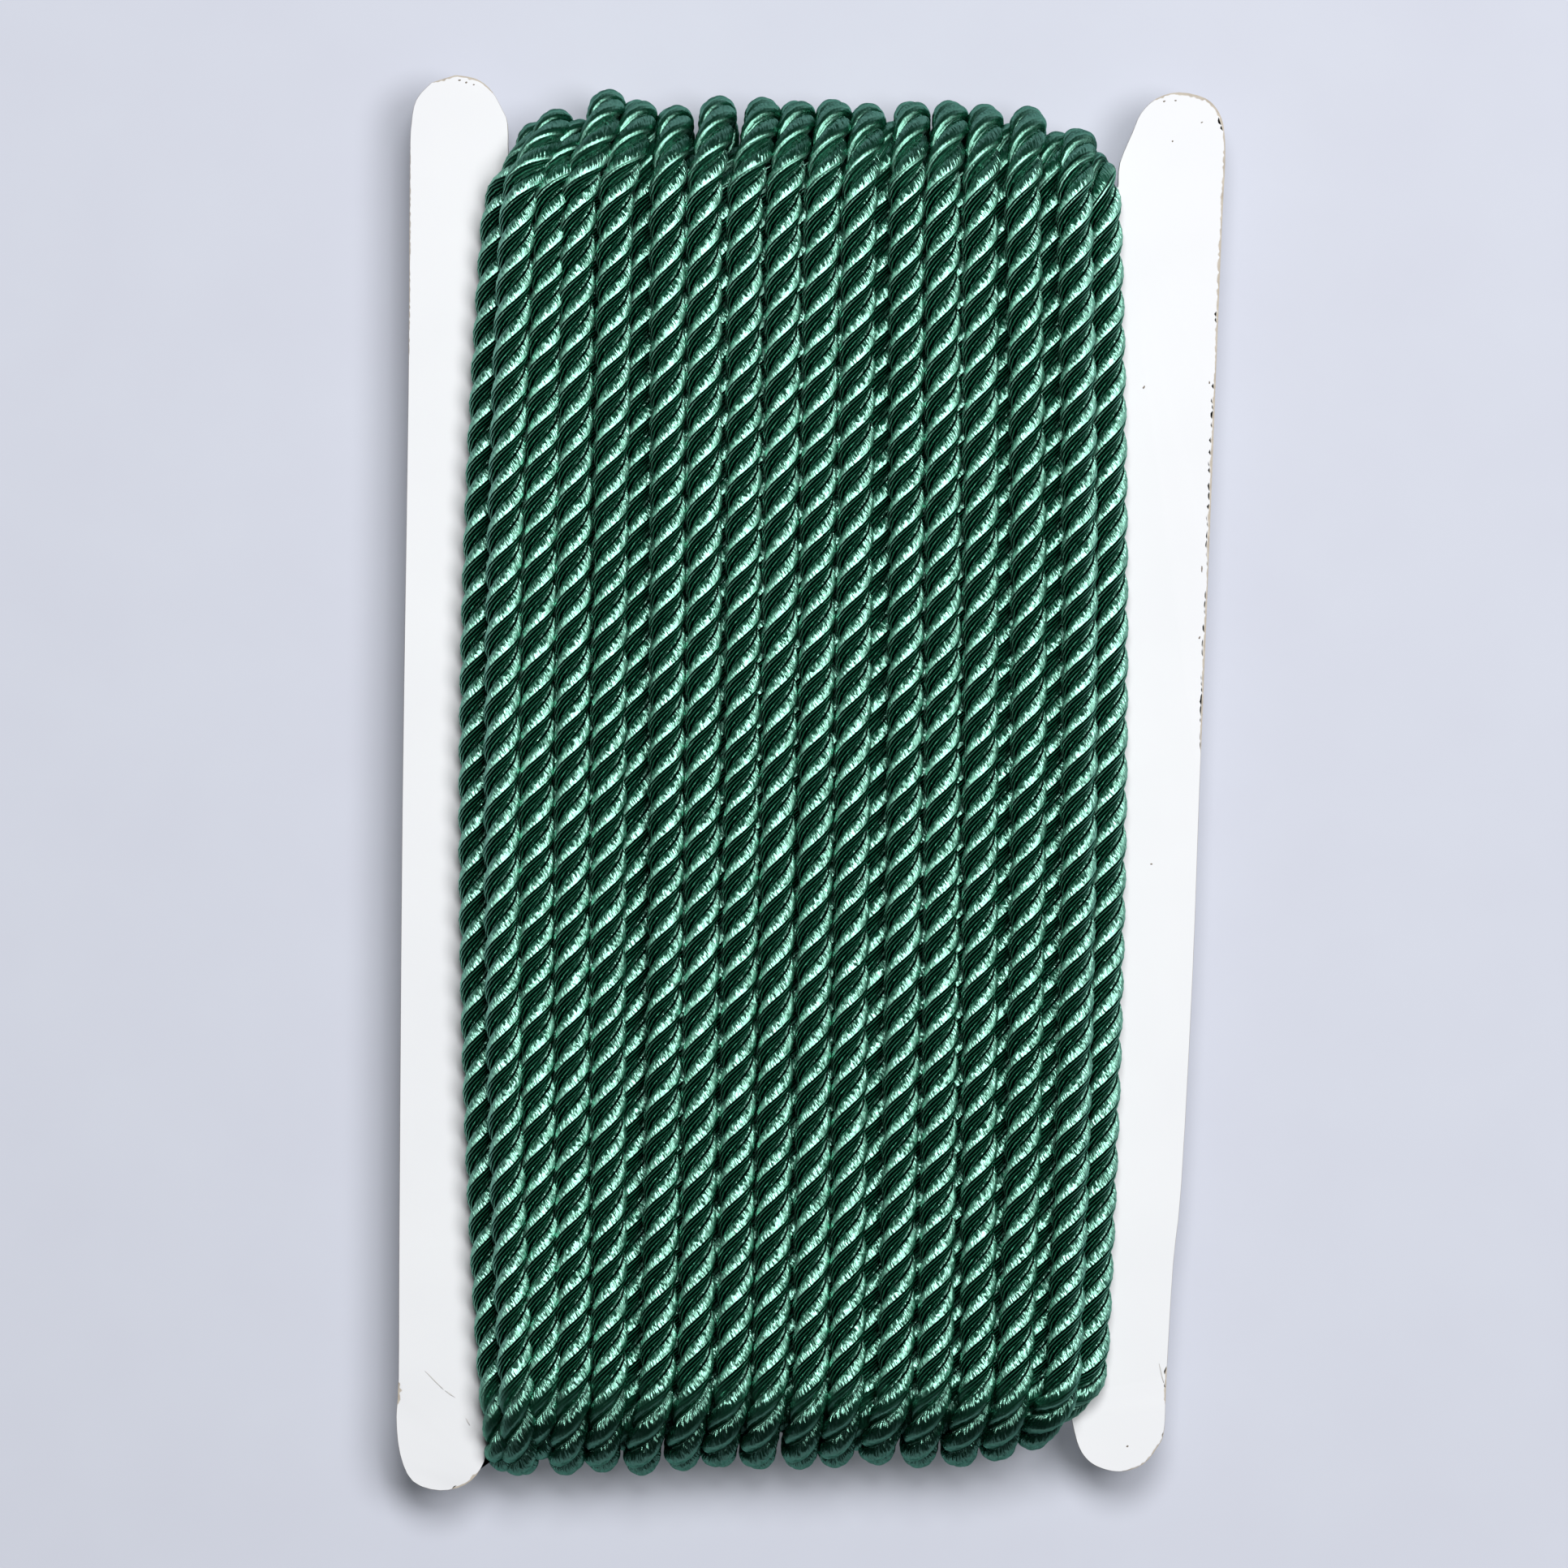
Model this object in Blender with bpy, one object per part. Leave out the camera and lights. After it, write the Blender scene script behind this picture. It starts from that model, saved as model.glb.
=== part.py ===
"""Twisted cord trim wound on a card: a white board with a notch at each end, and 21 turns of 5 mm cord wound round it.

The card lies on its back in the XY plane: +X runs across the card, +Y along the turns, +Z up out of the front.
The origin is under the middle of the card, on the plane that the backs of the turns rest on.
"""

import math

import bmesh
import bpy

MM = 0.001

CORD_RADIUS = 2.5
CARD_HALF = 1.0
GAP = 0.3

REST_DEPTH = 10.2
FRONT_SWELL = 0.4

LOWER_LEVEL = CARD_HALF + GAP + CORD_RADIUS
UPPER_LEVEL = LOWER_LEVEL + 4.2
MIXED_LEVEL = UPPER_LEVEL - 0.6
UNDERLAYER_TOP = LOWER_LEVEL + 0.8

NOTCH_TOP = 78.5
NOTCH_BOTTOM = -80.5
SPINE_TOP = NOTCH_TOP - CARD_HALF
SPINE_BOTTOM = NOTCH_BOTTOM + CARD_HALF

ROW_LOW = -79.1
ROW_MIDDLE = 1.6
ROW_HIGH = 71.4

# Each turn of the cord, from left to right, in mm: where its front run crosses the three rows, where it passes over
# the top notch and under the bottom notch, how high and low its loops reach, and the level of its front run.
TURN_COLUMNS = ("low", "middle", "high", "over_top", "under_bottom", "reach_top", "reach_bottom", "level")
TURNS = [
    (-41.8, -44.3, -41.6, -36.4, -39.9, 87.8, -91.4, LOWER_LEVEL),
    (-39.0, -40.9, -39.0, -33.9, -38.0, 89.4, -92.0, UPPER_LEVEL),
    (-35.2, -36.3, -34.6, -31.0, -35.8, 88.1, -89.9, MIXED_LEVEL),
    (-31.3, -31.6, -30.9, -27.0, -32.5, 92.0, -91.8, UPPER_LEVEL),
    (-26.6, -26.8, -26.0, -22.8, -27.8, 90.7, -91.4, UPPER_LEVEL),
    (-23.5, -23.0, -21.8, -20.5, -25.2, 87.6, -88.7, LOWER_LEVEL),
    (-20.3, -19.1, -19.0, -18.0, -22.5, 89.9, -91.8, UPPER_LEVEL),
    (-15.3, -14.3, -14.2, -12.3, -17.1, 91.1, -91.2, UPPER_LEVEL),
    (-10.2, -9.2, -8.8, -6.3, -12.3, 90.9, -90.9, UPPER_LEVEL),
    (-5.3, -4.3, -3.7, -1.7, -7.1, 90.6, -91.1, UPPER_LEVEL),
    (0.0, 0.6, 1.4, 3.1, -1.5, 90.7, -91.0, UPPER_LEVEL),
    (4.8, 5.5, 6.3, 7.6, 3.3, 90.1, -90.8, UPPER_LEVEL),
    (8.2, 8.9, 9.6, 10.6, 6.1, 88.1, -88.7, LOWER_LEVEL),
    (11.2, 12.4, 12.6, 13.5, 8.7, 90.5, -90.5, UPPER_LEVEL),
    (16.4, 17.4, 17.3, 18.6, 14.3, 90.5, -90.8, UPPER_LEVEL),
    (22.1, 22.4, 22.4, 23.2, 19.7, 90.0, -90.8, UPPER_LEVEL),
    (24.6, 25.6, 25.7, 26.2, 22.3, 87.6, -88.2, LOWER_LEVEL),
    (27.0, 28.8, 28.1, 28.9, 24.8, 89.7, -90.0, UPPER_LEVEL),
    (30.0, 32.1, 32.1, 32.4, 27.0, 86.7, -87.1, LOWER_LEVEL),
    (33.4, 35.5, 35.0, 35.6, 29.3, 86.8, -88.4, UPPER_LEVEL),
    (37.0, 39.6, 39.0, 37.9, 31.1, 83.8, -86.1, LOWER_LEVEL),
]

# The card's outline in mm, anticlockwise. Round stretches are drawn through their points as one smooth curve.
LEFT_SIDE = [(-50.4, 93.1), (-52.4, 90.9), (-53.1, 87.6), (-53.3, 81.6), (-53.5, 52.1), (-54.3, -3.8),
             (-54.7, -57.6), (-54.8, -79.1), (-55.1, -84.4), (-54.6, -89.3), (-52.9, -92.9)]
LEFT_FOOT = [(-49.3, -94.1), (-45.9, -93.3), (-43.8, -91.1), (-42.9, -88.2), (-42.8, -85.0), (-42.6, -81.4)]
RIGHT_FOOT = [(34.2, -81.4), (34.5, -83.6), (35.4, -87.6), (36.5, -89.7), (38.3, -91.0), (41.2, -91.6),
              (44.2, -90.6), (46.1, -88.3), (47.0, -86.1)]
RIGHT_SIDE = [(47.3, -79.1), (48.2, -64.0), (49.3, -53.3), (50.8, -25.3), (51.7, -0.6), (52.7, 24.1),
              (53.8, 52.3), (54.7, 74.7), (55.1, 82.2), (55.0, 86.5)]
RIGHT_HEAD = [(54.3, 89.1), (52.5, 91.0), (49.0, 91.8), (46.0, 91.0), (43.9, 89.0), (42.8, 86.5),
              (41.1, 82.4), (40.9, 79.3)]
LEFT_HEAD = [(-39.7, 79.3), (-40.2, 83.3), (-40.3, 87.6), (-41.0, 89.5), (-42.5, 92.1), (-44.5, 93.6), (-47.2, 94.1)]
NOTCH_CORNER = 0.8
CURVE_STEPS = 3

COLUMN_PLACES = (0.0, 0.22, 0.5, 0.78)
ARC_STEPS = 8
FRONT_ROWS = 10
BACK_ROWS = 6
EDGE_POINTS = ((0.82, 0.57), (1.0, 0.0), (0.7, -0.7))
INNER_COLUMNS = 4
STRAIGHT = 1e-6


def clear_scene():
    for thing in list(bpy.data.objects):
        bpy.data.objects.remove(thing, do_unlink=True)


def make_material(name, colour, roughness, metallic=0.0):
    material = bpy.data.materials.new(name)
    material.use_nodes = True
    shader = material.node_tree.nodes["Principled BSDF"]
    shader.inputs["Base Color"].default_value = (*colour, 1.0)
    shader.inputs["Roughness"].default_value = roughness
    shader.inputs["Metallic"].default_value = metallic
    return material


def add_object(name, bm, material):
    mesh = bpy.data.meshes.new(name)
    bm.to_mesh(mesh)
    bm.free()
    mesh.materials.append(material)
    mesh.shade_smooth()
    mesh.set_sharp_from_angle(angle=math.radians(35))
    thing = bpy.data.objects.new(name, mesh)
    bpy.context.scene.collection.objects.link(thing)
    return thing


def smooth_through(points, steps):
    """Points of a Catmull-Rom curve through an open row of points."""
    ends = [points[0], *points, points[-1]]
    smooth = []
    for before, start, end, after in zip(ends, ends[1:], ends[2:], ends[3:]):
        for step in range(steps):
            t = step / steps
            smooth.append(tuple(
                0.5 * (2 * b + (c - a) * t + (2 * a - 5 * b + 4 * c - d) * t ** 2 + (3 * b - a - 3 * c + d) * t ** 3)
                for a, b, c, d in zip(before, start, end, after)
            ))
    return smooth + [points[-1]]


def card_outline():
    """The H-shaped outline: two long arms with round ends, joined by the waist that the cord is wound on."""
    left_waist_x = LEFT_FOOT[-1][0] + NOTCH_CORNER
    right_waist_x = RIGHT_FOOT[0][0] - NOTCH_CORNER
    bottom = smooth_through(LEFT_SIDE + LEFT_FOOT, CURVE_STEPS)
    bottom += [(left_waist_x, NOTCH_BOTTOM), (right_waist_x, NOTCH_BOTTOM)]
    right = smooth_through(RIGHT_FOOT + RIGHT_SIDE + RIGHT_HEAD, CURVE_STEPS)
    top = [(RIGHT_HEAD[-1][0] - NOTCH_CORNER, NOTCH_TOP), (LEFT_HEAD[0][0] + NOTCH_CORNER, NOTCH_TOP)]
    return bottom + right + top + smooth_through(LEFT_HEAD, CURVE_STEPS)


def build_card(material):
    """A board of even thickness, cut to the outline."""
    bm = bmesh.new()
    low_z = (REST_DEPTH - CARD_HALF) * MM
    corners = [bm.verts.new((x * MM, y * MM, low_z)) for x, y in card_outline()]
    face = bm.faces.new(corners)
    raised = bmesh.ops.extrude_face_region(bm, geom=[face])
    lifted = [part for part in raised["geom"] if isinstance(part, bmesh.types.BMVert)]
    bmesh.ops.translate(bm, verts=lifted, vec=(0, 0, 2 * CARD_HALF * MM))
    bmesh.ops.recalc_face_normals(bm, faces=bm.faces)
    return add_object("winding_card", bm, material)


def front_x(turn, y):
    """X of a turn's front run at height y, on the parabola through its three measured points."""
    rows = ((ROW_LOW, turn["low"]), (ROW_MIDDLE, turn["middle"]), (ROW_HIGH, turn["high"]))
    total = 0.0
    for own_y, own_x in rows:
        weight = 1.0
        for other_y, _ in rows:
            if other_y != own_y:
                weight *= (y - other_y) / (own_y - other_y)
        total += weight * own_x
    return total


def loop_stations():
    """Places round the card: (y on the card's mid-line, angle of the outward direction from +Y towards +Z)."""
    span = SPINE_TOP - SPINE_BOTTOM
    stations = [(SPINE_BOTTOM + span * row / FRONT_ROWS, 90.0) for row in range(FRONT_ROWS)]
    stations += [(SPINE_TOP, 90.0 - 180.0 * step / ARC_STEPS) for step in range(ARC_STEPS)]
    stations += [(SPINE_TOP - span * row / BACK_ROWS, -90.0) for row in range(BACK_ROWS)]
    stations += [(SPINE_BOTTOM, -90.0 - 180.0 * step / ARC_STEPS) for step in range(ARC_STEPS)]
    return [(y, math.radians(angle)) for y, angle in stations]


def straight_centre(turn, y, on_front):
    """(x, distance of the cord's centre from the card's mid-line) where a turn runs straight over the card."""
    share = (y - SPINE_BOTTOM) / (SPINE_TOP - SPINE_BOTTOM)
    level = turn["level"] + FRONT_SWELL * 4 * share * (1 - share)
    if on_front:
        return front_x(turn, y), level
    return turn["under_bottom"] + (turn["over_top"] - turn["under_bottom"]) * share, level


def loop_centre(turn, y, angle):
    """The same where a turn bends round the edge of a notch: it swings over to its crossing and stands further out."""
    at_top = math.cos(angle) > 0
    crossing = turn["over_top"] if at_top else turn["under_bottom"]
    reach = abs((turn["reach_top"] if at_top else turn["reach_bottom"]) - y) - CORD_RADIUS
    level = turn["level"] + (reach - turn["level"]) * math.cos(angle) ** 2
    from_front = max(math.sin(angle), 0.0) ** 3
    return crossing + (front_x(turn, y) - crossing) * from_front, level


def turn_centre(turn, y, angle):
    if abs(math.cos(angle)) < STRAIGHT:
        return straight_centre(turn, y, on_front=math.sin(angle) > 0)
    return loop_centre(turn, y, angle)


def clear_reach(angle):
    """Distance from the mid-line to the square hole that clears the card by the gap."""
    return (CARD_HALF + GAP) / max(abs(math.sin(angle)), abs(math.cos(angle)))


def ring_profile(turns, y, angle):
    """The closed section of the winding at one station: its ridged outside, left to right, then its plain inside."""
    centres = [turn_centre(turn, y, angle) for turn in turns]

    def outside(x):
        tops = [level + math.sqrt(max(CORD_RADIUS ** 2 - (x - cx) ** 2, 0.0))
                for cx, level in centres if abs(x - cx) < CORD_RADIUS]
        return max(tops + [UNDERLAYER_TOP])

    places = []
    for (left, _), (right, _) in zip(centres, centres[1:]):
        places += [left + (right - left) * part for part in COLUMN_PLACES]
    places.append(centres[-1][0])
    profile = [(x, outside(x)) for x in places]

    first_x, first_level = centres[0]
    last_x, last_level = centres[-1]
    inner = clear_reach(angle)
    left_edge = [(first_x - CORD_RADIUS * across, first_level + CORD_RADIUS * up) for across, up in EDGE_POINTS]
    right_edge = [(last_x + CORD_RADIUS * across, last_level + CORD_RADIUS * up) for across, up in EDGE_POINTS]
    inner_left = first_x - 0.3 * CORD_RADIUS
    inner_right = last_x + 0.3 * CORD_RADIUS
    inside = [(inner_right + (inner_left - inner_right) * step / (INNER_COLUMNS - 1), inner)
              for step in range(INNER_COLUMNS)]
    return profile + right_edge + inside + left_edge[::-1]


def build_winding(material):
    """The wound cord as one ring round the card's waist, with a ridge for each turn that shows."""
    turns = [dict(zip(TURN_COLUMNS, row)) for row in TURNS]
    stations = loop_stations()
    rings = []
    for y, angle in stations:
        ring = []
        for x, distance in ring_profile(turns, y, angle):
            z = max(distance * math.sin(angle), -REST_DEPTH) + REST_DEPTH
            ring.append((x * MM, (y + distance * math.cos(angle)) * MM, z * MM))
        rings.append(ring)

    around = len(stations)
    across = len(rings[0])
    bm = bmesh.new()
    bmesh.ops.create_grid(bm, x_segments=across, y_segments=around, size=0.5)
    for vertex in bm.verts:
        column = round((vertex.co.x + 0.5) * across) % across
        row = round((vertex.co.y + 0.5) * around) % around
        vertex.co = rings[row][column]
    bmesh.ops.remove_doubles(bm, verts=bm.verts, dist=1e-7)
    bmesh.ops.recalc_face_normals(bm, faces=bm.faces)
    return add_object("wound_cord", bm, material)


clear_scene()
build_card(make_material("bleached_board", (0.92, 0.92, 0.94), 0.75))
build_winding(make_material("green_rayon_cord", (0.012, 0.13, 0.07), 0.4))
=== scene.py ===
"""Looks of a twisted cord trim wound on a white card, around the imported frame. The card lies on its back, +Y up."""

import math
import random

import bmesh
import bpy
import numpy as np
from mathutils import Matrix, Vector


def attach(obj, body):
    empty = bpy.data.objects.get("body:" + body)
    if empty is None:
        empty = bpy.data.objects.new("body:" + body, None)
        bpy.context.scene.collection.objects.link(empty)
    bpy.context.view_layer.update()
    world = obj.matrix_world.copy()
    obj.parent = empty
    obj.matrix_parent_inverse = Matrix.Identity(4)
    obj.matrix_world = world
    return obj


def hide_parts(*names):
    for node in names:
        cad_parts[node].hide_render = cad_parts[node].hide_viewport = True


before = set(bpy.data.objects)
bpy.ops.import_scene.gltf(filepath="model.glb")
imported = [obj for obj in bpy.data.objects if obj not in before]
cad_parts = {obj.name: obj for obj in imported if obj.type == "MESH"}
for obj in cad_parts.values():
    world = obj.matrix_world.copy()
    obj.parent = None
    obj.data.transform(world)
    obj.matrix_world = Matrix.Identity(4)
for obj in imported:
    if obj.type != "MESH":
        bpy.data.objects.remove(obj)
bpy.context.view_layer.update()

# The room: a pale grey-blue table under two wide soft lamps, one high past the card's top edge and one high past its
# right edge, and a weak overall light. Each ply shows both lamps as one long streak along its upper side.
# The table glows faintly, in place of the room's light in its shadows, which would veil the shiny cord.
MM = 0.001
VIEW_WIDTH = 207.7 * MM
VIEW_CENTRE = (-3.55 * MM, -0.16 * MM)
CAMERA_HEIGHT = 1.6
SENSOR = 36.0
FOCUS_HEIGHT = 17 * MM
TABLE_GLOW = 0.13


def linear(hex_colour):
    """An sRGB hex colour as the linear RGBA that shaders read."""
    parts = [int(hex_colour[place:place + 2], 16) / 255 for place in (1, 3, 5)]
    return tuple(p / 12.92 if p <= 0.04045 else ((p + 0.055) / 1.055) ** 2.4 for p in parts) + (1.0,)


def add_node(material, kind, settings=None, **links):
    """Adds a node. A link's value is an output socket, or a plain value; _0, _1 name an input by its number."""
    tree = material.node_tree
    node = tree.nodes.new(kind)
    for name, value in (settings or {}).items():
        setattr(node, name, value)
    for name, value in links.items():
        socket = node.inputs[int(name[1:]) if name[0] == "_" else name.replace("_", " ")]
        if isinstance(value, bpy.types.NodeSocket):
            tree.links.new(value, socket)
        else:
            socket.default_value = value
    return node


def new_material(name):
    """A node material that holds only its output."""
    material = bpy.data.materials.new(name)
    material.use_nodes = True
    shader = material.node_tree.nodes["Principled BSDF"]
    material.node_tree.nodes.remove(shader)
    return material


def finish_material(material, shader):
    output = material.node_tree.nodes["Material Output"]
    material.node_tree.links.new(shader.outputs[0], output.inputs["Surface"])
    return material


def add_piece(name, bm, material):
    mesh = bpy.data.meshes.new(name)
    bm.to_mesh(mesh)
    bm.free()
    mesh.materials.append(material)
    mesh.shade_smooth()
    piece = bpy.data.objects.new(name, mesh)
    bpy.context.scene.collection.objects.link(piece)
    return piece


# Matte table paper: rough and even, so it shows no shine, only a very faint grain.
table_paper = new_material("matte_table_paper")
table_grain = add_node(table_paper, "ShaderNodeTexNoise", Scale=220.0, Detail=3.0)
table_tone = add_node(table_paper, "ShaderNodeMix", {"data_type": "RGBA"}, _0=table_grain.outputs["Fac"],
                      _6=linear("#ABADB8"), _7=linear("#B0B3BD"))
finish_material(table_paper, add_node(table_paper, "ShaderNodeBsdfPrincipled", Base_Color=table_tone.outputs[2],
                                      Roughness=0.9, Specular_IOR_Level=0.2, Emission_Color=linear("#E4EAF4"),
                                      Emission_Strength=TABLE_GLOW))

bm = bmesh.new()
bmesh.ops.create_grid(bm, x_segments=1, y_segments=1, size=2.0)
table = add_piece("table", bm, table_paper)

camera_data = bpy.data.cameras.new("camera")
camera_data.sensor_width = SENSOR
camera_data.lens = SENSOR * (CAMERA_HEIGHT - FOCUS_HEIGHT) / VIEW_WIDTH
camera_data.clip_end = 10.0
camera = bpy.data.objects.new("camera", camera_data)
camera.location = (*VIEW_CENTRE, CAMERA_HEIGHT)
bpy.context.scene.collection.objects.link(camera)
bpy.context.scene.camera = camera

LAMPS = {
    "top_lamp": {"place": (0.04, 0.40, 1.1), "size": 0.46, "power": 10.9},
    "right_lamp": {"place": (0.43, 0.13, 1.1), "size": 0.52, "power": 9.5},
}
for lamp_name, lamp in LAMPS.items():
    light_data = bpy.data.lights.new(lamp_name, "AREA")
    light_data.shape = "DISK"
    light_data.size = lamp["size"]
    light_data.energy = lamp["power"]
    light = bpy.data.objects.new(lamp_name, light_data)
    light.location = lamp["place"]
    light.rotation_euler = (-Vector(lamp["place"])).to_track_quat("-Z", "Y").to_euler()
    bpy.context.scene.collection.objects.link(light)

world = bpy.data.worlds.new("room")
world.use_nodes = True
world.node_tree.nodes["Background"].inputs["Color"].default_value = linear("#E4EAF4")
world.node_tree.nodes["Background"].inputs["Strength"].default_value = 0.03
bpy.context.scene.world = world
bpy.context.scene.view_settings.view_transform = "Standard"

# The cord: three plies twisted together, 5 mm thick over all. Each ply is a soft yarn core wrapped closely with
# shiny viscose thread, laid in a steep left-to-right twist, one full turn of the twist in 13.5 mm.
# It is wound up and down round the card's waist: 10 turns are hidden underneath, and 21 lie over them.
CORD_RADIUS = 2.5
PLY_HALF_DEPTH = 1.25
PLY_HALF_WIDTH = 1.45
PLY_OFFSET = CORD_RADIUS - PLY_HALF_DEPTH
PLY_EDGE = math.radians(111)
LAY_LENGTH = 13.5
PLY_STRETCH = math.hypot(LAY_LENGTH, 2 * math.pi * PLY_OFFSET) / LAY_LENGTH
WRAP_SLANT = math.radians(34)

# The steps a route is drawn in, how much further its loops reach before it is softened, how far they lean on over
# the top, and how many steps of the last back run are left out, so that the cord's ends are tucked under.
LOOP_STEPS = 24
RUN_STEPS = 40
LOOP_SLACK = 0.65
LOOP_LEAN = 1.0
TUCKED_STEPS = 16
SOFTEN_ROUNDS = 3

# Relief on the plies, in mm. Real viscose threads lie about 0.15 mm apart: they are drawn 0.34 mm apart, to show.
THREAD_PITCH = 0.34
THREAD_HEIGHT = 0.008
BUNDLE_GRAIN = (4.4, 0.4, 7.0)
BUNDLE_TILT = 0.36
CREASE_PITCH = 0.66
CREASE_HEIGHT = 0.2

# Where, in mm from the middle of the card, the loops over the notches begin to get painted shade, and how far it
# takes.
LOOP_SHADE_START = 78.0
LOOP_SHADE_REACH = 6.0
# The bottom loops get more painted shade.
BOTTOM_LOOP_SHADE = 1.5

CARD_HALF = 1.0
GAP = 0.3
REST_DEPTH = 10.2
FRONT_SWELL = 0.4
LOWER_LEVEL = CARD_HALF + GAP + CORD_RADIUS
UPPER_LEVEL = LOWER_LEVEL + 4.2
MIXED_LEVEL = UPPER_LEVEL - 0.6
NOTCH_TOP = 78.5
NOTCH_BOTTOM = -80.5
SPINE_TOP = NOTCH_TOP - CARD_HALF
SPINE_BOTTOM = NOTCH_BOTTOM + CARD_HALF
ROW_LOW = -79.1
ROW_MIDDLE = 1.6
ROW_HIGH = 71.4

# Each turn in mm, left to right: where its front run crosses the three rows, where it passes over the top notch and
# under the bottom notch, how high and low its loops reach, and the level of its runs.
TURN_COLUMNS = ("low", "middle", "high", "over_top", "under_bottom", "reach_top", "reach_bottom", "level")
TURNS = [
    (-41.8, -44.3, -41.6, -36.4, -40.9, 87.8, -91.4, LOWER_LEVEL),
    (-39.0, -40.9, -39.0, -33.9, -38.6, 89.4, -92.0, UPPER_LEVEL),
    (-35.2, -36.3, -34.6, -31.0, -35.8, 88.1, -89.9, MIXED_LEVEL),
    (-31.3, -31.6, -30.9, -27.0, -32.5, 92.0, -91.8, UPPER_LEVEL),
    (-26.6, -26.8, -26.0, -22.8, -27.8, 90.7, -91.4, UPPER_LEVEL),
    (-23.5, -23.0, -21.8, -20.5, -25.2, 87.6, -88.7, LOWER_LEVEL),
    (-20.3, -19.1, -19.0, -18.0, -22.5, 89.9, -91.8, UPPER_LEVEL),
    (-15.3, -14.3, -14.2, -12.3, -17.1, 91.1, -91.2, UPPER_LEVEL),
    (-10.2, -9.2, -8.8, -6.3, -12.3, 90.9, -90.9, UPPER_LEVEL),
    (-5.3, -4.3, -3.7, -1.7, -7.1, 90.6, -91.1, UPPER_LEVEL),
    (0.0, 0.6, 1.4, 3.1, -1.5, 90.7, -91.0, UPPER_LEVEL),
    (4.8, 5.5, 6.3, 7.6, 3.3, 90.1, -90.8, UPPER_LEVEL),
    (8.2, 8.9, 9.6, 10.6, 6.1, 88.1, -88.7, LOWER_LEVEL),
    (11.2, 12.4, 12.6, 13.5, 8.7, 90.5, -90.5, UPPER_LEVEL),
    (16.4, 17.4, 17.3, 18.6, 14.3, 90.5, -90.8, UPPER_LEVEL),
    (22.1, 22.4, 22.4, 23.2, 19.7, 90.0, -90.8, UPPER_LEVEL),
    (24.6, 25.6, 25.7, 26.2, 22.3, 87.6, -88.2, LOWER_LEVEL),
    (27.0, 28.8, 28.1, 28.9, 24.8, 89.7, -90.0, UPPER_LEVEL),
    (30.0, 32.1, 32.1, 32.4, 27.0, 86.7, -87.1, LOWER_LEVEL),
    (33.4, 35.5, 35.0, 35.6, 29.3, 86.8, -88.4, UPPER_LEVEL),
    (37.0, 39.6, 39.0, 37.9, 31.1, 83.8, -86.1, LOWER_LEVEL),
]
turns = [dict(zip(TURN_COLUMNS, row)) for row in TURNS]

# The hidden turns each lie in the valley between two turns that are wound over them.
VALLEYS = [2, 3, 4, 7, 8, 9, 10, 11, 14, 15]
UNDER_REACH_TOP = 85.0
UNDER_REACH_BOTTOM = -87.0
under_turns = []
for left_turn in VALLEYS:
    pair = turns[left_turn - 1], turns[left_turn]
    under_turn = {column: (pair[0][column] + pair[1][column]) / 2 for column in TURN_COLUMNS}
    under_turn.update(reach_top=UNDER_REACH_TOP, reach_bottom=UNDER_REACH_BOTTOM, level=LOWER_LEVEL)
    under_turns.append(under_turn)


def front_x(turn, y):
    """X of a turn's front run at height y, on the parabola through its three rows."""
    rows = ((ROW_LOW, turn["low"]), (ROW_MIDDLE, turn["middle"]), (ROW_HIGH, turn["high"]))
    total = 0.0
    for own_y, own_x in rows:
        weight = 1.0
        for other_y, _ in rows:
            if other_y != own_y:
                weight *= (y - other_y) / (own_y - other_y)
        total += weight * own_x
    return total


def swelling(y):
    """How far a run stands up at height y, because the layers below are softer in the middle."""
    share = (y - SPINE_BOTTOM) / (SPINE_TOP - SPINE_BOTTOM)
    return FRONT_SWELL * 4 * share * (1 - share)


def loop_points(y, x_in, x_over, x_out, level_in, reach, level_out, start_angle):
    """A loop round a notch's edge: 180 degrees from start_angle on, standing further out at its middle."""
    points = []
    for step in range(1, LOOP_STEPS):
        angle = math.radians(start_angle - 180 * step / LOOP_STEPS)
        coming = step < LOOP_STEPS / 2
        aside = abs(math.sin(angle)) ** 3
        x = x_over + ((x_in if coming else x_out) - x_over) * aside
        level = level_in if coming else level_out
        distance = level + (reach - level) * math.cos(angle) ** 2
        points.append((x, y + distance * math.cos(angle), distance * math.sin(angle)))
    return points


def back_level(level, y):
    """The backs of the outer turns are pressed flush with the plane that the winding rests on."""
    return min(level + swelling(y), REST_DEPTH - CORD_RADIUS)


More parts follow.
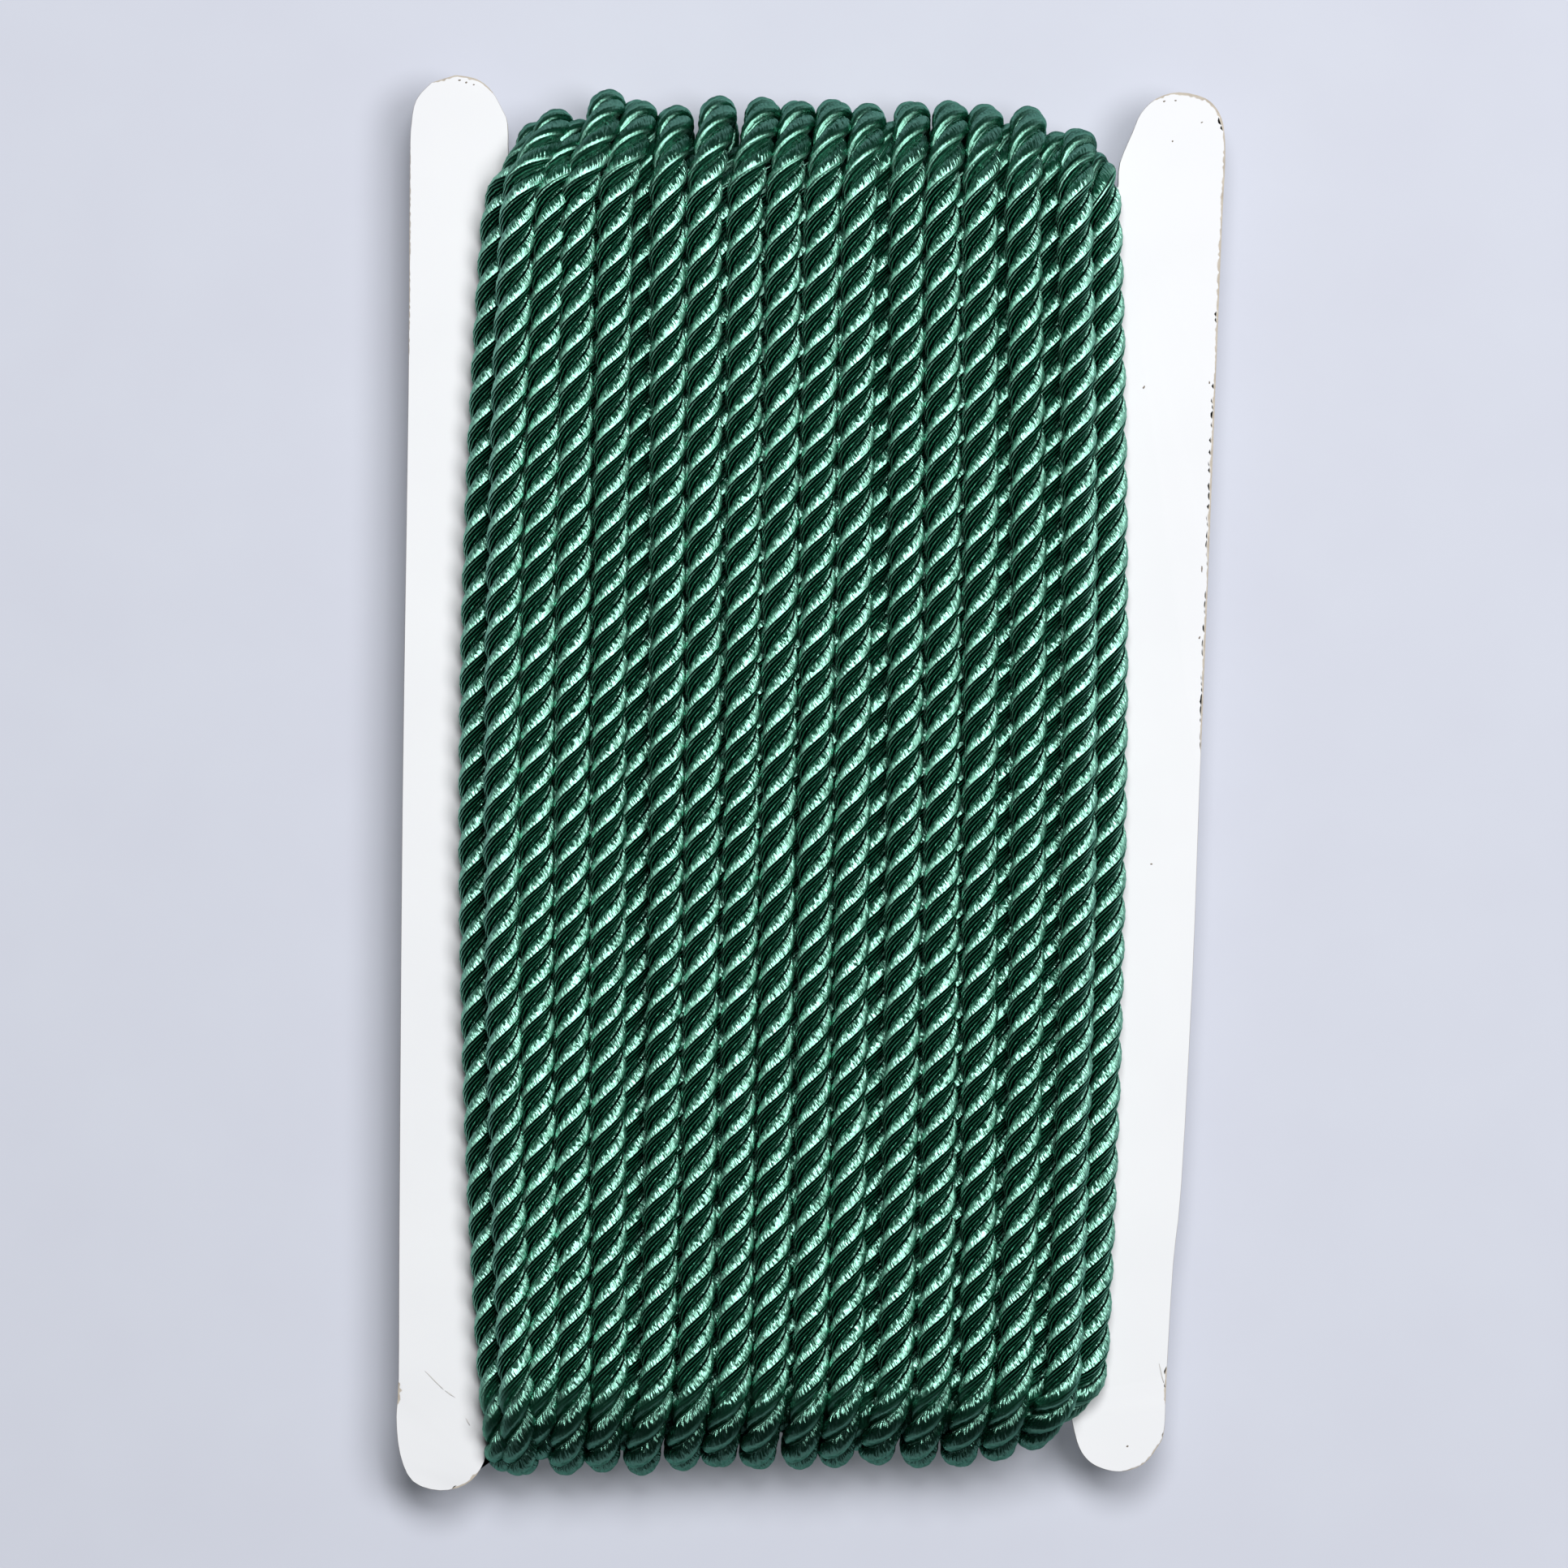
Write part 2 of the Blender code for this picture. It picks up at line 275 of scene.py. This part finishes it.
def winding_path(rows, start_x, end_x):
    """The whole route of one length of cord: up the front, over, down the back and under, turn after turn."""
    span = SPINE_TOP - SPINE_BOTTOM
    points = []
    for step in range(TUCKED_STEPS, RUN_STEPS):
        y = SPINE_TOP - span * step / RUN_STEPS
        points.append((start_x + (rows[0]["under_bottom"] - start_x) * step / RUN_STEPS, y, -LOWER_LEVEL))
    level = LOWER_LEVEL
    for number, turn in enumerate(rows):
        bottom_reach = SPINE_BOTTOM - turn["reach_bottom"] - CORD_RADIUS + LOOP_SLACK
        points += loop_points(SPINE_BOTTOM, turn["under_bottom"], turn["under_bottom"], front_x(turn, SPINE_BOTTOM),
                              back_level(level, SPINE_BOTTOM), bottom_reach, turn["level"], -90)
        for step in range(RUN_STEPS + 1):
            y = SPINE_BOTTOM + span * step / RUN_STEPS
            points.append((front_x(turn, y), y, turn["level"] + swelling(y)))
        top_reach = turn["reach_top"] - SPINE_TOP - CORD_RADIUS + LOOP_SLACK
        front_top = front_x(turn, SPINE_TOP)
        back_top = turn["over_top"] + LOOP_LEAN * (turn["over_top"] - front_top)
        points += loop_points(SPINE_TOP, front_top, turn["over_top"], back_top,
                              turn["level"], top_reach, back_level(turn["level"], SPINE_TOP), 90)
        last = number + 1 == len(rows)
        next_x = end_x if last else rows[number + 1]["under_bottom"]
        next_level = LOWER_LEVEL if last else rows[number + 1]["level"]
        for step in range(RUN_STEPS + 1 - (TUCKED_STEPS if last else 0)):
            share = step / RUN_STEPS
            y = SPINE_TOP - span * share
            ease = min(max((share - 0.3) / 0.4, 0.0), 1.0)
            ease = ease * ease * (3 - 2 * ease)
            x = back_top + (next_x - back_top) * share
            points.append((x, y, -back_level(turn["level"] + (next_level - turn["level"]) * ease, y)))
        level = next_level
    return np.array(points)


def evenly_spaced(points, spacing):
    """The same route with points at even distances along it, softened as a stiff cord softens its corners."""
    for _ in range(2):
        lengths = np.concatenate([[0.0], np.cumsum(np.linalg.norm(np.diff(points, axis=0), axis=1))])
        places = np.linspace(0.0, lengths[-1], int(round(lengths[-1] / spacing)) + 1)
        points = np.stack([np.interp(places, lengths, points[:, axis]) for axis in range(3)], axis=1)
        for _ in range(SOFTEN_ROUNDS):
            points[1:-1] = 0.25 * points[:-2] + 0.5 * points[1:-1] + 0.25 * points[2:]
    return points


def carried_frames(points):
    """Along the route: the way it goes and two cross directions, carried on from point to point without turning."""
    ways = np.gradient(points, axis=0)
    ways /= np.linalg.norm(ways, axis=1)[:, None]
    side = np.cross(ways[0], (1.0, 0.0, 0.0))
    sides = []
    for way in ways:
        side = side - way * np.dot(side, way)
        side = side / np.linalg.norm(side)
        sides.append(side)
    sides = np.array(sides)
    return ways, sides, np.cross(ways, sides)


def rolled_length(sides, steps):
    """A sheet of quads rolled up into a tube: its columns run round the cord, its rows along it."""
    bm = bmesh.new()
    bmesh.ops.create_grid(bm, x_segments=sides, y_segments=steps, size=0.5)
    seam = [corner for corner in bm.verts if abs(corner.co.x) > 0.5 - 0.25 / sides]
    for corner in seam:
        corner.co.x = -0.5
    bmesh.ops.remove_doubles(bm, verts=seam, dist=0.25 / steps)
    end_edges = [edge for edge in bm.edges if edge.is_boundary]
    bmesh.ops.holes_fill(bm, edges=end_edges, sides=sides + 1)
    for edge in end_edges:
        edge.smooth = False
    return bm


def wind_on(name, route, first_step, steps, per_ply, steps_per_lay, turning, material):
    """Rolls one stretch of the cord, gives it its three twisted plies, and lays it along its route round the card."""
    piece = add_piece(name, rolled_length(3 * per_ply, steps), material)
    mesh = piece.data
    flat = np.empty(len(mesh.vertices) * 3, np.float32)
    mesh.vertices.foreach_get("co", flat)
    rolled = flat.reshape(-1, 3).astype(float)

    step_length = LAY_LENGTH / steps_per_lay
    column = np.rint((rolled[:, 0] + 0.5) * 3 * per_ply).astype(int)
    ring = np.rint((rolled[:, 1] + 0.5) * steps).astype(int)
    ply = column // per_ply
    around = PLY_EDGE * (2 * (column % per_ply + 0.5) / per_ply - 1)
    ply_x = PLY_OFFSET + PLY_HALF_DEPTH * np.cos(around)
    ply_y = PLY_HALF_WIDTH * np.sin(around)
    radius = np.hypot(ply_x, ply_y)
    bearing = np.arctan2(ply_y, ply_x) + ply * 2 * math.pi / 3

    points, ways, sides, tops = route
    station = first_step + ring
    swing = bearing + turning[station]
    cross = sides[station] * np.cos(swing)[:, None] + tops[station] * np.sin(swing)[:, None]
    laid = points[station] + cross * radius[:, None]
    laid[:, 2] = np.maximum(laid[:, 2], -REST_DEPTH) + REST_DEPTH
    mesh.vertices.foreach_set("co", (laid * MM).astype(np.float32).ravel())

    pitch = 2 * math.pi / LAY_LENGTH
    along_ply = ways[station] + np.cross(ways[station], cross) * (radius * pitch)[:, None]
    along_ply /= np.linalg.norm(along_ply, axis=1)[:, None]
    facing = np.arctan2(np.sin(around) / PLY_HALF_WIDTH, np.cos(around) / PLY_HALF_DEPTH) + swing - bearing
    facing += ply * 2 * math.pi / 3
    outward = sides[station] * np.cos(facing)[:, None] + tops[station] * np.sin(facing)[:, None]
    across_ply = np.cross(outward, along_ply)
    across_ply /= np.linalg.norm(across_ply, axis=1)[:, None]
    past_threads = along_ply * math.cos(WRAP_SLANT) - across_ply * math.sin(WRAP_SLANT)
    thread_place = mesh.attributes.new("thread_place", "FLOAT_VECTOR", "POINT")
    values = np.stack([-around * PLY_HALF_WIDTH, station * step_length * PLY_STRETCH, ply], axis=1)
    thread_place.data.foreach_set("vector", values.astype(np.float32).ravel())
    thread_grain = mesh.attributes.new("thread_grain", "FLOAT_VECTOR", "POINT")
    thread_grain.data.foreach_set("vector", past_threads.astype(np.float32).ravel())
    pressed_side = mesh.attributes.new("pressed_side", "FLOAT", "POINT")
    pressed_side.data.foreach_set("value", np.abs(outward[:, 0]).astype(np.float32))
    # The loops over the notches get painted shade, more at the bottom.
    past_edge = np.clip((np.abs(points[station][:, 1]) - LOOP_SHADE_START) / LOOP_SHADE_REACH, 0.0, 1.0)
    past_edge = np.where(points[station][:, 1] < 0, BOTTOM_LOOP_SHADE * past_edge, past_edge)
    notch_loop_shade = mesh.attributes.new("notch_loop_shade", "FLOAT", "POINT")
    notch_loop_shade.data.foreach_set("value", past_edge.astype(np.float32))
    mesh.update()
    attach(piece, "root")
    return piece


# Viscose thread: lustrous, wound closely and on the slant across each ply. Its shine lies in a narrow streak where
# the threads point square to the lamp's light, so it is smooth along the threads and rough across them.
satin = new_material("viscose_thread_wrapping")
place = add_node(satin, "ShaderNodeAttribute", {"attribute_name": "thread_place"})
parts = add_node(satin, "ShaderNodeSeparateXYZ", _0=place.outputs["Vector"])
past = add_node(satin, "ShaderNodeVectorMath", {"operation": "DOT_PRODUCT"}, _0=place.outputs["Vector"],
                _1=(-math.sin(WRAP_SLANT), math.cos(WRAP_SLANT), 0.0))
threads_turn = add_node(satin, "ShaderNodeMath", {"operation": "MULTIPLY"}, _0=past.outputs["Value"],
                        _1=2 * math.pi / THREAD_PITCH)
threads = add_node(satin, "ShaderNodeMath", {"operation": "SINE"}, _0=threads_turn.outputs[0])
threads_height = add_node(satin, "ShaderNodeMath", {"operation": "MULTIPLY"}, _0=threads.outputs[0],
                          _1=THREAD_HEIGHT)
bundle_place = add_node(satin, "ShaderNodeCombineXYZ", X=past.outputs["Value"], Y=parts.outputs["X"],
                        Z=parts.outputs["Z"])
bundle_grain = add_node(satin, "ShaderNodeVectorMath", {"operation": "MULTIPLY"}, _0=bundle_place.outputs[0],
                        _1=BUNDLE_GRAIN)
bundles = add_node(satin, "ShaderNodeTexNoise", Vector=bundle_grain.outputs[0], Scale=1.0, Detail=1.0)
tilt = add_node(satin, "ShaderNodeMath", {"operation": "SUBTRACT"}, _0=bundles.outputs["Fac"], _1=0.5)
from_crest = add_node(satin, "ShaderNodeMath", {"operation": "ADD"}, _0=parts.outputs["X"], _1=0.5)
from_crest = add_node(satin, "ShaderNodeMath", {"operation": "MAXIMUM"}, _0=from_crest.outputs[0], _1=0.0)
tilt = add_node(satin, "ShaderNodeMath", {"operation": "MULTIPLY"}, _0=tilt.outputs[0], _1=from_crest.outputs[0])
tilt_height = add_node(satin, "ShaderNodeMath", {"operation": "MULTIPLY"}, _0=tilt.outputs[0], _1=BUNDLE_TILT)

# The lower side of each ply shows long creases between its inner yarns: relief here, painted shade further on.
ridge_share = add_node(satin, "ShaderNodeMath", {"operation": "MULTIPLY"}, _0=parts.outputs["X"],
                       _1=1 / CREASE_PITCH)
step_share = add_node(satin, "ShaderNodeMath", {"operation": "FRACT"}, _0=ridge_share.outputs[0])
lower_side = add_node(satin, "ShaderNodeMapRange", {"interpolation_type": "SMOOTHSTEP"}, Value=parts.outputs["X"],
                      From_Min=0.0, From_Max=-0.35, To_Min=0.0, To_Max=1.0)
down_side = add_node(satin, "ShaderNodeMapRange", Value=parts.outputs["X"], From_Min=0.0, From_Max=-2.0,
                     To_Min=0.0, To_Max=1.0)
ridges = add_node(satin, "ShaderNodeMath", {"operation": "MULTIPLY"}, _0=step_share.outputs[0],
                  _1=down_side.outputs["Result"])
ridges_height = add_node(satin, "ShaderNodeMath", {"operation": "MULTIPLY"}, _0=ridges.outputs[0], _1=CREASE_HEIGHT)
height = add_node(satin, "ShaderNodeMath", {"operation": "ADD"}, _0=threads_height.outputs[0],
                  _1=ridges_height.outputs[0])
height = add_node(satin, "ShaderNodeMath", {"operation": "ADD"}, _0=height.outputs[0], _1=tilt_height.outputs[0])
relief = add_node(satin, "ShaderNodeBump", Strength=1.0, Distance=MM, Height=height.outputs[0])
grain = add_node(satin, "ShaderNodeAttribute", {"attribute_name": "thread_grain"})
tone = add_node(satin, "ShaderNodeMix", {"data_type": "RGBA"}, _0=bundles.outputs["Fac"], _6=linear("#093D28"),
                _7=linear("#0E4F38"))
# The lower side gets a lighter green, seen on its yarn crests between the creases: a painted highlight.
tone = add_node(satin, "ShaderNodeMix", {"data_type": "RGBA"}, _0=lower_side.outputs["Result"], _6=tone.outputs[2],
                _7=linear("#15583D"))
groove_painted_shade = add_node(satin, "ShaderNodeMapRange", {"interpolation_type": "SMOOTHSTEP"}, Value=step_share.outputs[0],
                  From_Min=0.5, From_Max=0.8, To_Min=1.0, To_Max=0.0)
upper_edge = add_node(satin, "ShaderNodeMapRange", {"interpolation_type": "SMOOTHSTEP"}, Value=parts.outputs["X"],
                      From_Min=1.6, From_Max=2.1, To_Min=0.0, To_Max=1.0)
shaded_ply_sides = add_node(satin, "ShaderNodeMath", {"operation": "MAXIMUM"}, _0=lower_side.outputs["Result"],
                       _1=upper_edge.outputs["Result"])
# Painted shade in the creases, and near the crevice on the upper side: a black metal sends back no light at all.
painted_shade_share = add_node(satin, "ShaderNodeMath", {"operation": "MULTIPLY"}, _0=groove_painted_shade.outputs["Result"],
                 _1=shaded_ply_sides.outputs[0])
# Over the notches the creases and their painted shade fade out, and the whole ply gets painted shade instead:
# more on the bottom loops, as a share of black metal that darkens both colour and shine.
loop_shade_mask = add_node(satin, "ShaderNodeAttribute", {"attribute_name": "notch_loop_shade"})
crease_shade_kept = add_node(satin, "ShaderNodeMapRange", Value=loop_shade_mask.outputs["Fac"], From_Min=0.0, From_Max=1.0,
                      To_Min=1.0, To_Max=0.55)
painted_shade_share = add_node(satin, "ShaderNodeMath", {"operation": "MULTIPLY"}, _0=painted_shade_share.outputs[0],
                 _1=crease_shade_kept.outputs["Result"])
loop_darkening = add_node(satin, "ShaderNodeMath", {"operation": "MULTIPLY"}, _0=loop_shade_mask.outputs["Fac"], _1=0.42)
painted_shade_share = add_node(satin, "ShaderNodeMath", {"operation": "MAXIMUM"}, _0=painted_shade_share.outputs[0], _1=loop_darkening.outputs[0])
tone = add_node(satin, "ShaderNodeMix", {"data_type": "RGBA"}, _0=painted_shade_share.outputs[0], _6=tone.outputs[2],
                _7=linear("#010503"))
# Turns rub on their neighbours, so their sides are smoother than their fronts.
side = add_node(satin, "ShaderNodeAttribute", {"attribute_name": "pressed_side"})
shine = add_node(satin, "ShaderNodeMapRange", {"interpolation_type": "SMOOTHSTEP"}, Value=side.outputs["Fac"],
                 From_Min=0.5, From_Max=1.0, To_Min=0.35, To_Max=0.2)
finish_material(satin, add_node(satin, "ShaderNodeBsdfPrincipled", Base_Color=tone.outputs[2],
                                Roughness=shine.outputs["Result"], Metallic=painted_shade_share.outputs[0],
                                IOR=2.85, Specular_IOR_Level=1.0,
                                Specular_Tint=linear("#BAFFE8"), Anisotropic=1.0,
                                Tangent=grain.outputs["Vector"], Normal=relief.outputs[0]))

random.seed(5)

# The card: white board, die-cut. Its edge is worn to the grey-brown inside of the board in a few places.
CARD_LOW = REST_DEPTH - CARD_HALF
CARD_TOP = REST_DEPTH + CARD_HALF
LEFT_SIDE = [(-50.4, 93.1), (-52.4, 90.9), (-53.1, 87.6), (-53.3, 81.6), (-53.5, 52.1), (-54.3, -3.8),
             (-54.7, -57.6), (-54.8, -79.1), (-55.1, -84.4), (-54.6, -89.3), (-52.9, -92.9)]
LEFT_FOOT = [(-49.3, -94.1), (-45.9, -93.3), (-43.8, -91.1), (-42.9, -88.2), (-42.8, -85.0), (-42.6, -81.4)]
RIGHT_FOOT = [(34.2, -81.4), (34.5, -83.6), (35.4, -87.6), (36.5, -89.7), (38.3, -91.0), (41.2, -91.6),
              (44.2, -90.6), (46.1, -88.3), (47.0, -86.1)]
RIGHT_SIDE = [(47.3, -79.1), (48.2, -64.0), (49.3, -53.3), (50.8, -25.3), (51.7, -0.6), (52.7, 24.1),
              (53.8, 52.3), (54.7, 74.7), (55.1, 82.2), (55.0, 86.5)]
RIGHT_HEAD = [(54.3, 89.1), (52.5, 91.0), (49.0, 91.8), (46.0, 91.0), (43.9, 89.0), (42.8, 86.5),
              (41.1, 82.4), (40.9, 79.3)]
LEFT_HEAD = [(-39.7, 79.3), (-40.2, 83.3), (-40.3, 87.6), (-41.0, 89.5), (-42.5, 92.1), (-44.5, 93.6), (-47.2, 94.1)]
NOTCH_CORNER = 0.8
CURVE_STEPS = 3
EDGE_SPACING = 0.4
SLIGHT_WEAR = 0.05
SLOPE_DEPTH = 0.1
RIM_STEPS = 9
FLECK_SPREAD = 1.5
CREASE_HALF_WIDTH = 0.09
BOARD_SPECULAR = 0.3

# Where the edge is worn: the middle of the place, how far it reaches, and how wide the wear is, in mm.
WORN_PLACES = [((-46.0, 94.0), 4.5, 0.6), ((51.5, 90.5), 6.5, 0.75), ((54.8, 80.0), 8.0, 0.6),
               ((54.4, 66.0), 12.0, 0.6), ((53.4, 42.0), 20.0, 0.6), ((52.4, 17.0), 14.0, 0.5),
               ((47.2, -80.0), 2.5, 0.5), ((-54.8, -81.2), 1.4, 0.8), ((-45.5, -93.2), 2.5, 0.6),
               ((-53.4, 70.0), 16.0, 0.22), ((45.5, -90.0), 5.0, 0.3)]

# Flecks: x, y, half length, half width, bearing in degrees. Creases: their ends.
FLECKS = [(-46.7, 93.4, 0.22, 0.12, 10), (-45.8, 93.1, 0.18, 0.12, 40), (-44.8, 92.8, 0.16, 0.1, 0),
          (47.0, 90.6, 0.2, 0.12, 30), (48.5, 90.7, 0.16, 0.12, 0), (48.1, 85.3, 0.15, 0.12, 70),
          (52.0, 87.8, 0.18, 0.1, 20), (52.0, 28.4, 0.5, 0.1, 88), (51.7, 19.3, 0.2, 0.12, 60),
          (53.0, 53.2, 0.22, 0.1, 90), (44.3, 52.6, 0.3, 0.13, 60), (45.3, -10.8, 0.16, 0.12, 0),
          (42.1, -88.2, 0.18, 0.13, 30)]
CREASES = [((-51.5, -78.0), (-48.8, -80.7)), ((-48.8, -80.7), (-47.2, -81.8)), ((-45.9, -84.4), (-45.3, -85.5)),
           ((46.3, -77.2), (47.0, -80.1))]


def smooth_through(points, steps):
    """Points of a Catmull-Rom curve through an open row of points."""
    ends = [points[0], *points, points[-1]]
    smooth = []
    for before, start, end, after in zip(ends, ends[1:], ends[2:], ends[3:]):
        for step in range(steps):
            t = step / steps
            smooth.append(tuple(
                0.5 * (2 * b + (c - a) * t + (2 * a - 5 * b + 4 * c - d) * t ** 2 + (3 * b - a - 3 * c + d) * t ** 3)
                for a, b, c, d in zip(before, start, end, after)
            ))
    return smooth + [points[-1]]


def card_outline():
    """The H-shaped outline, anticlockwise: two long arms with round ends, joined by the waist under the cord."""
    bottom = smooth_through(LEFT_SIDE + LEFT_FOOT, CURVE_STEPS)
    bottom += [(LEFT_FOOT[-1][0] + NOTCH_CORNER, NOTCH_BOTTOM), (RIGHT_FOOT[0][0] - NOTCH_CORNER, NOTCH_BOTTOM)]
    right = smooth_through(RIGHT_FOOT + RIGHT_SIDE + RIGHT_HEAD, CURVE_STEPS)
    top = [(RIGHT_HEAD[-1][0] - NOTCH_CORNER, NOTCH_TOP), (LEFT_HEAD[0][0] + NOTCH_CORNER, NOTCH_TOP)]
    corners = np.array(bottom + right + top + smooth_through(LEFT_HEAD, CURVE_STEPS))
    closed = np.concatenate([corners, corners[:1]])
    lengths = np.concatenate([[0.0], np.cumsum(np.linalg.norm(np.diff(closed, axis=0), axis=1))])
    places = np.linspace(0.0, lengths[-1], int(lengths[-1] / EDGE_SPACING), endpoint=False)
    return np.stack([np.interp(places, lengths, closed[:, axis]) for axis in range(2)], axis=1)


def worn_width(x, y):
    """How wide the worn slope is at this place on the edge."""
    width = SLIGHT_WEAR
    for (worn_x, worn_y), reach, most in WORN_PLACES:
        away = math.hypot(x - worn_x, y - worn_y) / reach
        if away < 1:
            width = max(width, most * (1 - away ** 4) * random.uniform(0.35, 1.0))
    return width


def cut_card(material):
    """The board: its face, a narrow slope worn along the edge of each face, and its side."""
    outline = card_outline()
    ways = np.roll(outline, -1, axis=0) - np.roll(outline, 1, axis=0)
    ways /= np.linalg.norm(ways, axis=1)[:, None]
    widths = np.array([worn_width(x, y) for x, y in outline])
    inset = outline + np.stack([-ways[:, 1], ways[:, 0]], axis=1) * widths[:, None]
    rings = [(inset, CARD_LOW), (outline, CARD_LOW + SLOPE_DEPTH), (outline, CARD_TOP - SLOPE_DEPTH),
             (inset, CARD_TOP)]
    bm = bmesh.new()
    wear = bm.verts.layers.float.new("edge_wear")
    rows = []
    for number, (line, z) in enumerate(rings):
        row = [bm.verts.new((x * MM, y * MM, z * MM)) for x, y in line]
        for corner in row:
            corner[wear] = 1.0 if number in (1, 2) else 0.0
        rows.append(row)
    for low, high in zip(rows, rows[1:]):
        for place, corner in enumerate(low):
            following = (place + 1) % len(low)
            bm.faces.new((corner, low[following], high[following], high[place]))
    faces = [bm.faces.new(rows[-1]), bm.faces.new(rows[0][::-1])]
    bmesh.ops.triangulate(bm, faces=faces)
    bmesh.ops.recalc_face_normals(bm, faces=bm.faces)
    piece = add_piece("card", bm, material)
    piece.data.set_sharp_from_angle(angle=math.radians(20))
    return piece


def low_marks(name, marks, material):
    """Small flat marks on the card's face, each a low mound with a ragged rim."""
    bm = bmesh.new()
    for x, y, half_length, half_width, bearing in marks:
        middle = bm.verts.new((x * MM, y * MM, (CARD_TOP + 0.02) * MM))
        rim = []
        for step in range(RIM_STEPS):
            angle = 2 * math.pi * step / RIM_STEPS
            along = FLECK_SPREAD * half_length * math.cos(angle) * random.uniform(0.75, 1.1)
            across = FLECK_SPREAD * half_width * math.sin(angle) * random.uniform(0.7, 1.2)
            turned = Matrix.Rotation(math.radians(bearing), 2) @ Vector((along, across))
            rim.append(bm.verts.new(((x + turned.x) * MM, (y + turned.y) * MM, (CARD_TOP - 0.01) * MM)))
        for corner, following in zip(rim, rim[1:] + rim[:1]):
            bm.faces.new((middle, corner, following))
        bm.faces.new(rim[::-1])
    piece = add_piece(name, bm, material)
    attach(piece, "root")
    return piece


def plain_board(name, hex_colour):
    """One dull tone, for bare board or for the painted shade of a dent."""
    material = new_material(name)
    shader = add_node(material, "ShaderNodeBsdfPrincipled", Base_Color=linear(hex_colour), Roughness=0.8,
                      Specular_IOR_Level=BOARD_SPECULAR)
    return finish_material(material, shader)


# Bleached board: a smooth white face with little shine. Its fibres are drawn about 1 mm long, so that they show
# where it is worn.
board = new_material("bleached_board")
board_place = add_node(board, "ShaderNodeTexCoord")
fibres = add_node(board, "ShaderNodeTexNoise", Vector=board_place.outputs["Object"], Scale=900.0, Detail=3.0)
patches = add_node(board, "ShaderNodeTexNoise", Vector=board_place.outputs["Object"], Scale=60.0, Detail=2.0)
face_tone = add_node(board, "ShaderNodeMix", {"data_type": "RGBA"}, _0=patches.outputs["Fac"], _6=linear("#CFD0D3"),
                     _7=linear("#D5D6D8"))
inside_tone = add_node(board, "ShaderNodeMix", {"data_type": "RGBA"}, _0=fibres.outputs["Fac"], _6=linear("#8B8175"),
                       _7=linear("#C2BAAD"))
edge_wear = add_node(board, "ShaderNodeAttribute", {"attribute_name": "edge_wear"})
worn = add_node(board, "ShaderNodeMapRange", {"interpolation_type": "SMOOTHSTEP"}, Value=edge_wear.outputs["Fac"],
                From_Min=0.15, From_Max=0.5, To_Min=0.0, To_Max=1.0)
board_tone = add_node(board, "ShaderNodeMix", {"data_type": "RGBA"}, _0=worn.outputs["Result"],
                      _6=face_tone.outputs[2], _7=inside_tone.outputs[2])
board_relief = add_node(board, "ShaderNodeBump", Strength=0.3, Distance=0.02 * MM, Height=fibres.outputs["Fac"])
finish_material(board, add_node(board, "ShaderNodeBsdfPrincipled", Base_Color=board_tone.outputs[2], Roughness=0.7,
                                Specular_IOR_Level=BOARD_SPECULAR, Normal=board_relief.outputs[0]))

card = cut_card(board)
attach(card, "root")
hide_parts("winding_card")
low_marks("card_flecks", FLECKS, plain_board("brown_fleck", "#7D7267"))
# The creases are flat grey lines on the face: painted shade of the dents in the board.
crease_marks = []
for (x1, y1), (x2, y2) in CREASES:
    length = math.hypot(x2 - x1, y2 - y1)
    bearing = math.degrees(math.atan2(y2 - y1, x2 - x1))
    crease_marks.append(((x1 + x2) / 2, (y1 + y2) / 2, length / 2, CREASE_HALF_WIDTH, bearing))
low_marks("card_crease_shade_lines", crease_marks, plain_board("dent_painted_shade", "#BDBBB8"))


def lay_wobble(count, step_length):
    """Extra turning of the twist along a cord: its lay is a little longer here and shorter there."""
    total = 0.0
    change = 0.0
    turning = []
    for _ in range(count):
        change += (random.uniform(-0.004, 0.004) - change * 0.02)
        total += change * step_length
        turning.append(total)
    return np.array(turning)


CORDS = {
    "outer_cord": {"rows": turns, "start_x": -44.0, "end_x": 25.0, "per_ply": 18, "steps_per_lay": 13, "pieces": 5},
    "under_cord": {"rows": under_turns, "start_x": -36.0, "end_x": 19.0, "per_ply": 10, "steps_per_lay": 10,
                   "pieces": 1},
}
for cord_name, cord in CORDS.items():
    step_length = LAY_LENGTH / cord["steps_per_lay"]
    points = evenly_spaced(winding_path(cord["rows"], cord["start_x"], cord["end_x"]), step_length)
    route = (points, *carried_frames(points))
    station_count = len(points)
    turning = lay_wobble(station_count, step_length) + 2 * math.pi * np.arange(station_count) / cord["steps_per_lay"]
    ends = np.linspace(0, station_count - 1, cord["pieces"] + 1).astype(int)
    for number, (first, last) in enumerate(zip(ends, ends[1:]), 1):
        piece = wind_on(f"{cord_name}_{number}", route, first, last - first, cord["per_ply"],
                        cord["steps_per_lay"], turning, satin)
        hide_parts("wound_cord")
